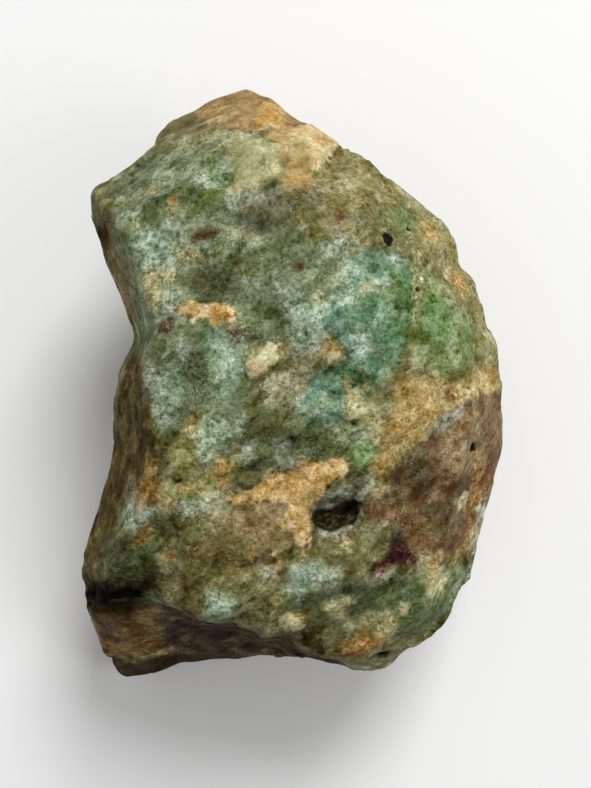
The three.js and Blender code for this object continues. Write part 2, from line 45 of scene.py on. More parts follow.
# Where each mineral comes to the surface, seen from above: the outlines of its
# patches, as corners (x, y) in mm.
OUTLINES = {
    "crown": [
        [(-28, 32.5), (-23.5, 36.5), (-18, 37), (-11.5, 38), (-10, 31.5), (-8.5, 23.5), (-4.5, 22),
         (0, 24.5), (3.5, 22), (7.5, 21), (7.5, 16), (4, 13.5), (3.5, 9.5), (1, 6.5), (-4.5, 7),
         (-6.5, 4.5), (-5.5, -0.5), (-7.5, -6.5), (-9.5, -8.5), (-12.5, -3), (-16.5, -5), (-19, -5),
         (-20.5, 1.5), (-21.5, 6.5), (-24.5, 8), (-25.5, 10.5), (-23.5, 13), (-24.5, 19),
         (-27, 25.5)],
    ],
    "thicket": [
        [(1, -2.5), (5.5, -4), (10.5, -4), (12.5, -6.5), (11.5, -9.5), (7, -9), (2.5, -9),
         (-0.5, -9.5), (-4.5, -11), (-7.5, -11), (-7, -7), (-3, -6.5)],
    ],
    "sand": [
        [(-12.5, -16), (-8, -15), (-1, -15.5), (0.5, -18), (1, -21.5), (-3.5, -22), (-7.5, -20.5),
         (-11.5, -19.5)],
    ],
    "cap": [
        [(-23, 38), (-20.5, 38), (-19, 38.5), (-17.5, 40), (-16, 41), (-14.5, 39.5), (-13, 40),
         (-12, 40.5), (-10, 40), (-8, 39), (-6.5, 39.5), (-4.5, 40), (-3, 39.5), (-0.5, 38.5),
         (1, 41.5), (2, 44.5), (0.5, 47.5), (-3.5, 50.5), (-8.5, 52), (-15, 49.5), (-22.5, 44)],
    ],
    "tail": [
        [(-22, 38), (-20.5, 38), (-19, 39), (-17, 40), (-15, 39), (-13.5, 40), (-12.5, 41.5),
         (-14, 44), (-16.5, 45.5), (-19, 45), (-22.5, 42)],
    ],
    "honey": [
        [(-5.5, 40), (-5.5, 43), (-5, 46), (-3, 46.5), (-1.5, 44.5), (-1.5, 41.5), (-2.5, 40),
         (-4, 40.5)],
    ],
    "knob": [
        [(-1, 39), (1, 42), (3, 43), (5, 41.5), (7, 39), (5.5, 36), (4, 34), (2.5, 33), (2, 35),
         (2, 38), (0.5, 37.5)],
    ],
    "saddle": [
        [(-4.5, 39.5), (-2.5, 39.5), (-0.5, 39), (0.5, 37.5), (2, 38), (2.5, 33), (3, 31),
         (1.5, 29.5), (-0.5, 29.5), (-1.5, 31), (-1, 33), (-2, 35.5), (-2.5, 37), (-4.5, 38)],
    ],
    "lobe": [
        [(-9, 35.5), (-7.5, 37.5), (-4.5, 38), (-2.5, 36.5), (-1, 33.5), (-1, 31.5), (-3, 30.5),
         (-4.5, 30), (-6, 29.5), (-8, 29.5), (-9, 31), (-9.5, 33.5)],
    ],
    "chalk": [
        [(-10.5, 39.5), (-6.5, 39), (-4.5, 39.5), (-4.5, 37.5), (-7.5, 37), (-10, 37)],
        [(-8, 29), (-5, 29.5), (-2, 29), (-0.5, 27), (-2.5, 26.5), (-5, 27), (-7.5, 27)],
        [(-13, -15.5), (-10, -14), (-8, -14.5), (-7.5, -15.5), (-8.5, -17), (-10.5, -17.5),
         (-12, -17)],
        [(3.5, -20), (5.5, -20), (7.5, -19), (9, -19), (9, -21), (7.5, -21.5), (6, -21),
         (4.5, -21.5)],
    ],
    "hollow": [
        [(-8, 29.5), (-4.5, 30), (-3, 30.5), (-1, 29.5), (-0.5, 27.5), (-1, 25.5), (-2.5, 23.5),
         (-4.5, 22.5), (-6, 22.5), (-7.5, 23.5), (-8.5, 26), (-9, 28)],
    ],
    "dusk": [
        [(-1, 29), (1, 27.5), (3, 27.5), (3, 25.5), (1, 25), (-0.5, 25.5)],
        [(-15.5, 16), (-14, 18), (-12, 17.5), (-9.5, 17.5), (-8.5, 16), (-8.5, 14.5), (-10.5, 13.5),
         (-12.5, 13.5), (-14.5, 13.5)],
        [(-3.5, 13), (-2, 13), (0, 11.5), (-1, 9.5), (-2.5, 9.5), (-4, 11)],
        [(-9.5, 10), (-7.5, 10.5), (-5.5, 9.5), (-5, 7.5), (-7, 7), (-8.5, 7.5)],
        [(-2, 7), (0.5, 7), (1, 5.5), (-0.5, 5), (-2, 5.5)],
        [(-5, -2), (-3, -1), (-1, -2.5), (-1, -5), (-3, -7), (-6, -8), (-7.5, -7), (-6.5, -5)],
        [(-0.5, -4.5), (2.5, -4), (5.5, -6.5), (6.5, -8.5), (3.5, -9.5), (1, -9), (-1, -8),
         (-1.5, -6)],
        [(-9, -9.5), (-6.5, -9.5), (-4.5, -10), (-4.5, -12.5), (-6, -13.5), (-8, -13.5),
         (-9.5, -12)],
    ],
    "olive": [
        [(6.5, 37.5), (9.5, 38.5), (12.5, 36), (15.5, 34.5), (18.5, 31.5), (16, 29), (13, 28.5),
         (11, 26.5), (8.5, 24.5), (6, 23.5), (3.5, 23), (1, 23.5), (0, 25.5), (1, 27), (2.5, 29.5),
         (3, 31), (4.5, 34)],
    ],
    "jade": [
        [(8, 19), (11.5, 20.5), (15.5, 20), (17.5, 19.5), (18, 15.5), (17.5, 11.5), (16.5, 7.5),
         (14.5, 4), (12, 1.5), (9.5, -0.5), (7.5, -0.5), (5.5, 0), (3.5, 1), (4, 3), (6, 5),
         (7.5, 7), (8.5, 9.5), (7, 10.5), (5.5, 9.5), (3.5, 11), (5.5, 13.5), (7.5, 16)],
    ],
    "teal": [
        [(3.5, 13), (5.5, 13.5), (7.5, 12), (8.5, 10), (10.5, 8.5), (11.5, 6), (10, 3.5),
         (8.5, 1.5), (6.5, 2), (5.5, 4), (7, 6), (6, 8), (4, 9.5)],
        [(0.5, 2.5), (3, 3), (5.5, 1.5), (8, 0.5), (8, -2), (7, -4), (4, -4.5), (2, -3.5),
         (1, -1.5)],
        [(9, 19), (11.5, 20.5), (13.5, 20.5), (12.5, 18.5), (10.5, 17)],
    ],
    "vivid": [
        [(12.5, 15.5), (15, 18), (16.5, 15.5), (17, 12), (16, 9), (14.5, 10.5), (13, 13)],
        [(19, 14), (21.5, 14), (23.5, 11), (22.5, 8), (20, 8.5), (19, 11.5)],
        [(-11, 35), (-10.5, 34.5), (-9.5, 32.5), (-9, 30), (-10, 29), (-10.5, 31), (-11.5, 33)],
    ],
    "deep": [
        [(13, 16), (15, 17), (17, 15.5), (17.5, 11), (16, 9.5), (14.5, 11), (13.5, 13.5)],
        [(6, 4), (7.5, 5.5), (9.5, 5), (10, 3), (8.5, 2), (6.5, 2.5)],
        [(10.5, 9.5), (13, 10), (14.5, 8), (13.5, 5.5), (11.5, 6)],
    ],
    "mint": [
        [(-14.5, -6.5), (-14, -4), (-11.5, -3), (-9.5, -4), (-9, -6), (-10.5, -7), (-12, -8),
         (-13, -8.5), (-14, -7.5)],
        [(8.5, -7.5), (10.5, -6.5), (12, -8), (12, -9.5), (10, -10), (8.5, -9)],
    ],
    "milk": [
        [(-19.5, 1), (-18, 2), (-16, 1.5), (-16.5, 0), (-17.5, -1.5), (-17.5, -3.5), (-19, -3.5),
         (-19.5, -1)],
        [(-12.5, 9), (-11, 9), (-8.5, 7.5), (-7, 6), (-7, 3.5), (-8.5, 1.5), (-10, 0), (-11, 2),
         (-10.5, 4), (-11.5, 6), (-12.5, 7)],
        [(-0.5, 9.5), (1, 13.5), (3, 14.5), (4, 13.5), (5, 11), (3, 9), (1, 8.5)],
        [(8.5, 19), (10.5, 19.5), (11.5, 18), (10.5, 15.5), (8.5, 15), (7.5, 17)],
        [(-1, -26), (1, -24.5), (3.5, -25), (6.5, -25.5), (5.5, -27), (2.5, -28), (0.5, -28.5),
         (-1, -27.5)],
        [(-22.5, 22.5), (-20.5, 23.5), (-18.5, 22.5), (-18, 20.5), (-19.5, 19.5), (-22, 20)],
        [(2, -0.5), (4, 0.5), (6, -0.5), (6.5, -2), (4.5, -3), (2.5, -2.5)],
    ],
    "leaf": [
        [(16, 29), (18.5, 29), (19.5, 26.5), (17.5, 23.5), (16, 23.5), (14.5, 26)],
        [(17.5, 19.5), (20.5, 18), (23, 16), (24.5, 14.5), (27.5, 12.5), (29.5, 9.5), (28.5, 6.5),
         (26.5, 4.5), (24, 3.5), (21.5, 2.5), (19.5, 5), (17.5, 6.5), (16.5, 7.5), (17.5, 11.5)],
        [(-17, 26.5), (-14.5, 27.5), (-13.5, 29.5), (-11.5, 30.5), (-11, 33), (-10.5, 34.5),
         (-9.5, 32.5), (-10, 29.5), (-11.5, 28), (-13.5, 27), (-14.5, 25.5)],
        [(-22, 19.5), (-19.5, 18.5), (-18, 15), (-19, 13), (-21, 14), (-22, 16)],
    ],
    "rim": [
        [(18.5, 30), (21.5, 29), (24, 27), (26, 24.5), (27, 21.5), (29, 19), (30.5, 15.5),
         (32, 11.5), (33, 8), (33.5, 4.5), (31.5, 3.5), (29.5, 4), (28.5, 7), (29.5, 9.5),
         (28, 12.5), (24.5, 14.5), (23, 16), (23, 19.5), (21, 20), (19.5, 21.5), (18.5, 24),
         (19.5, 27)],
    ],
    "band": [
        [(30.5, 5), (33.5, 4), (34, 0.5), (30, 0), (26.5, -0.5), (24.5, -1.5), (22.5, -2.5),
         (20.5, -5), (18.5, -6.5), (17, -8), (15.5, -9.5), (14, -11), (12.5, -12), (11.5, -11),
         (12.5, -8.5), (13.5, -6.5), (13, -4.5), (14, -2), (14.5, 0), (14.5, 1.5), (16, 2.5),
         (18, 2.5), (20.5, 2.5), (23, 1.5), (25, 2), (27.5, 3)],
    ],
    "quartz": [
        [(33.5, 0.5), (35, -3), (35, -7.5), (34, -11), (32, -14.5), (30, -11.5), (29, -13),
         (27.5, -14), (25.5, -15), (24, -16.5), (26, -18), (27.5, -19.5), (27, -22), (25.5, -23.5),
         (23.5, -24), (21.5, -24.5), (19.5, -24), (17.5, -23), (16.5, -21.5), (15, -20),
         (13.5, -18.5), (11.5, -18), (10, -17), (9, -15), (10, -14), (11.5, -13.5), (13.5, -12.5),
         (14.5, -11), (15.5, -9.5), (17.5, -8), (19, -7), (20.5, -5), (22.5, -2.5), (24.5, -1.5),
         (26.5, -0.5), (30, 0)],
    ],
    "glow": [
        [(22.5, -3), (24.5, -1.5), (27, -2), (29.5, -4.5), (31, -8), (29.5, -10.5), (26.5, -12),
         (23.5, -11), (22, -8.5), (21.5, -5.5)],
    ],
    "blush": [
        [(29.5, -0.5), (33.5, -0.5), (34.5, -3.5), (34.5, -7), (33.5, -10), (31.5, -9), (30, -5.5)],
    ],
    "umber": [
        [(13.5, -14), (15, -11), (17, -9), (19.5, -8.5), (21, -10), (21.5, -12.5), (20.5, -15),
         (17.5, -16), (15, -16.5)],
        [(19.5, -17.5), (22, -15.5), (24.5, -16), (26.5, -17.5), (24, -19), (21.5, -19)],
        [(23, -13), (25, -12.5), (26.5, -14), (24.5, -15.5), (23, -15)],
        [(14.5, -20.5), (16, -20), (17, -21.5), (18.5, -24), (17.5, -25), (15.5, -24.5),
         (14.5, -22.5)],
    ],
    "sienna": [
        [(16, -19), (19, -18.5), (22.5, -19), (26, -20.5), (24.5, -23), (21.5, -24), (19, -23),
         (17, -21.5)],
    ],
    "rustrim": [
        [(31.5, -10.5), (33, -12), (32, -14.5), (31.5, -16.5), (30, -17.5), (28.5, -17.5),
         (28.5, -20), (27, -22.5), (25, -24), (23, -25), (21, -25), (21, -24.5), (23, -23.5),
         (25.5, -22.5), (27, -20.5), (26.5, -18.5), (27, -16), (28, -14), (29.5, -12)],
    ],
    "sliver": [
        [(28.5, -17.5), (31, -17.5), (31.5, -20), (31, -23.5), (30.5, -26.5), (29, -26.5),
         (28, -23.5), (28, -21), (29, -19.5)],
    ],
    "vein": [
        [(-9.5, -15), (-7.5, -14), (-6, -13.5), (-4.5, -12.5), (-3.5, -11.5), (-1, -11.5),
         (1, -10.5), (2, -9.5), (3.5, -9.5), (5.5, -9.5), (7, -9), (8.5, -10), (8.5, -11.5),
         (7.5, -12), (6, -12.5), (5, -13.5), (4.5, -15), (3, -16), (2, -17), (3, -19), (3, -20),
         (2.5, -22), (1.5, -23), (0.5, -22), (0, -20.5), (-0.5, -19.5), (-1, -18), (-1, -16),
         (-2, -15.5), (-3.5, -15.5), (-6, -15), (-7.5, -15.5), (-8.5, -16)],
        [(-16, 12.5), (-14.5, 13.5), (-13.5, 13), (-11.5, 13), (-10, 13.5), (-8.5, 12.5),
         (-8.5, 11), (-10, 10.5), (-11, 9.5), (-10, 9), (-12, 9.5), (-13, 11), (-14.5, 11)],
    ],
    "smoky": [
        [(-7, -17), (-4.5, -16), (-2, -17), (-0.5, -19.5), (0, -21.5), (-1, -22.5), (-3, -21.5),
         (-5.5, -20.5), (-6.5, -19)],
        [(-4.5, -23.5), (-2.5, -22.5), (-1, -24), (-1, -26), (-3.5, -26.5), (-4.5, -25.5)],
    ],
    "slate": [
        [(2.5, -17.5), (3.5, -16), (5, -14), (7, -13), (8.5, -12.5), (11, -11), (12, -12),
         (11, -14.5), (10, -16), (7.5, -15.5), (6, -16.5), (4.5, -17), (3, -18)],
    ],
    "cave": [
        [(3, -18), (3.5, -17), (5, -16.5), (6.5, -16), (8.5, -15.5), (9.5, -16), (9.5, -17),
         (9, -18), (7, -19), (5.5, -19.5), (4, -19)],
    ],
    "fibrous": [
        [(-15, -21.5), (-12.5, -20), (-9.5, -19), (-7.5, -20.5), (-5, -21.5), (-3, -22.5),
         (-4, -24), (-5.5, -26), (-8.5, -27), (-11.5, -26), (-13.5, -25), (-15, -24), (-16.5, -23)],
        [(-19.5, -26.5), (-17, -25), (-15, -26), (-13.5, -28.5), (-15, -30), (-18, -30),
         (-20, -29)],
    ],
    "moss": [
        [(-17, -10.5), (-17.5, -8), (-16, -5.5), (-15.5, -4), (-14, -3.5), (-13.5, -6.5),
         (-14, -8.5), (-14.5, -11), (-16, -12)],
        [(-19, -13), (-17, -13), (-14, -12.5), (-11, -12), (-11.5, -14), (-14, -14.5), (-17, -15),
         (-19, -14.5)],
        [(-10.5, -9.5), (-8.5, -9.5), (-7.5, -11.5), (-9.5, -12.5), (-11, -11.5)],
    ],
    "bottle": [
        [(-2, -28.5), (1, -30), (5.5, -28), (10, -27), (16, -26.5), (20.5, -28.5), (24, -30.5),
         (26, -32.5), (24.5, -34.5), (21.5, -35.5), (18, -36), (16, -34.5), (15, -32.5), (13, -32),
         (11, -33), (8.5, -34.5), (5.5, -34), (2.5, -32), (-0.5, -31.5)],
    ],
    "cyan": [
        [(-12.5, -29.5), (-11.5, -28.5), (-9.5, -28.5), (-8, -30), (-8.5, -31.5), (-10.5, -33),
         (-12, -32.5), (-13, -31.5)],
        [(-26, -17), (-23.5, -15), (-21.5, -14.5), (-20.5, -16.5), (-21.5, -18), (-23.5, -19),
         (-25.5, -18.5)],
        [(23.5, -26.5), (27, -26.5), (29.5, -29), (29.5, -31.5), (26.5, -32), (24, -30)],
    ],
    "bulge": [
        [(-27, -23), (-25.5, -20.5), (-22.5, -20.5), (-20, -21), (-19, -23.5), (-20, -26.5),
         (-22.5, -27), (-26, -27.5), (-28.5, -26.5), (-30, -25)],
        [(-21, -17), (-18.5, -16.5), (-17, -17.5), (-18, -19.5), (-20, -20)],
    ],
    "fir": [
        [(11, -29), (13.5, -27.5), (16, -27.5), (22.5, -28), (26, -30.5), (26, -33), (24, -35),
         (21.5, -35.5), (17, -35.5), (14.5, -33), (12, -31)],
    ],
    "garnet": [
        [(14.5, -20), (16, -20), (16.5, -22), (18.5, -24), (18, -25), (15.5, -25), (14, -26),
         (12.5, -27), (11.5, -27), (11, -25.5), (12.5, -24.5), (14, -23.5), (14.5, -22)],
    ],
    "sugar": [
        [(3.5, -19), (5.5, -19.5), (8, -18.5), (9, -19), (9, -20.5), (7.5, -21), (6.5, -22),
         (4.5, -21.5), (3.5, -20.5)],
        [(-4.5, -23.5), (-3, -22.5), (-2, -24), (-2.5, -25.5), (-4, -25.5)],
    ],
    "nodule": [
        [(-6.5, 4.5), (-5, 6), (-3.5, 7.5), (-2, 7), (-2, 5.5), (-3, 4), (-4.5, 3), (-6, 2.5),
         (-6.5, 3.5)],
    ],
    "facet": [
        [(-1, 3.5), (0.5, 6), (1.5, 7.5), (3.5, 7), (3.5, 5.5), (3, 3), (2, 0.5), (1, -1),
         (-0.5, -2), (-2, -0.5), (-3.5, -1), (-4.5, -0.5), (-5, 1.5), (-4, 3), (-2.5, 3.5)],
    ],
    "butter": [
        [(8.5, -34), (11, -33), (13, -32), (15, -32.5), (15, -34.5), (14, -36.5), (12, -37),
         (10, -36), (8.5, -36)],
        [(20, -26), (22, -25.5), (24, -28.5), (23, -30.5), (20.5, -29.5)],
        [(5, -31), (7.5, -30), (8.5, -31.5), (7, -33), (5.5, -32)],
        [(-1, -32.5), (1, -32.5), (1, -34.5), (-0.5, -34.5)],
        [(8, 0), (9, 0.5), (10, -1), (10.5, -2), (12, -2), (12.5, -3), (12.5, -4.5), (11, -4.5),
         (10, -3.5), (9, -2.5), (8.5, -1.5)],
        [(5, 7), (6, 7.5), (7, 6), (6, 5), (5, 5)],
    ],
    "amber": [
        [(7, -38), (8.5, -36.5), (10.5, -35), (12.5, -36), (13.5, -37.5), (12.5, -39), (10.5, -40),
         (8, -39.5)],
        [(-23.5, -12.5), (-20.5, -11.5), (-19, -13), (-19.5, -15), (-21.5, -16), (-22.5, -14.5)],
    ],
    "flank": [
        [(-36, -17), (-32.5, -17), (-30, -12), (-28.5, -7), (-27.5, -0.5), (-26.5, 3.5), (-25, 7),
         (-22, 5), (-20.5, 0.5), (-20.5, -3.5), (-21, -6.5), (-20, -9), (-19, -11.5),
         (-22.5, -12.5), (-24.5, -15.5), (-26.5, -19), (-29, -23), (-30.5, -27), (-36, -31.5)],
    ],
    "flanktop": [
        [(-33.5, 28.5), (-30, 28), (-28, 26.5), (-27.5, 23.5), (-26, 20), (-25, 16), (-24.5, 12),
         (-25.5, 7), (-28, 7.5), (-30.5, 15), (-33, 24.5)],
    ],
    # The crease outlines mark deep recesses whose tones are painted shade.
    "crease": [
        [(-36, -31.5), (-31.5, -28), (-26.5, -27.5), (-21, -27), (-19.5, -29), (-22, -32),
         (-25.5, -34), (-30, -34.5), (-35, -34.5)],
        [(-32.5, 27), (-28.5, 26.5), (-28, 23.5), (-30, 22), (-32, 23.5)],
    ],
    "moor": [
        [(-32.5, 30.5), (-31.5, 33), (-30, 32.5), (-28.5, 30), (-27.5, 27), (-28, 26), (-30, 28),
         (-33, 28.5)],
    ],
    "heel": [
        [(-32, -33.5), (-27, -33.5), (-22, -32.5), (-20, -34.5), (-20.5, -39), (-22.5, -43),
         (-28, -45.5), (-31, -45), (-32.5, -40.5)],
    ],
    "sole": [
        [(-20.5, -32), (-15, -31.5), (-13, -33), (-8.5, -32.5), (-8, -35), (-3.5, -36.5),
         (0, -35.5), (1, -39), (5, -40), (8, -43.5), (6.5, -47.5), (-9, -48.5), (-23.5, -48.5),
         (-21, -40), (-21, -35.5)],
    ],
    "wedge": [
        [(-32, -44.5), (-28, -46), (-23, -45), (-20.5, -47), (-23.5, -49.5), (-28.5, -52),
         (-34, -52)],
    ],
}
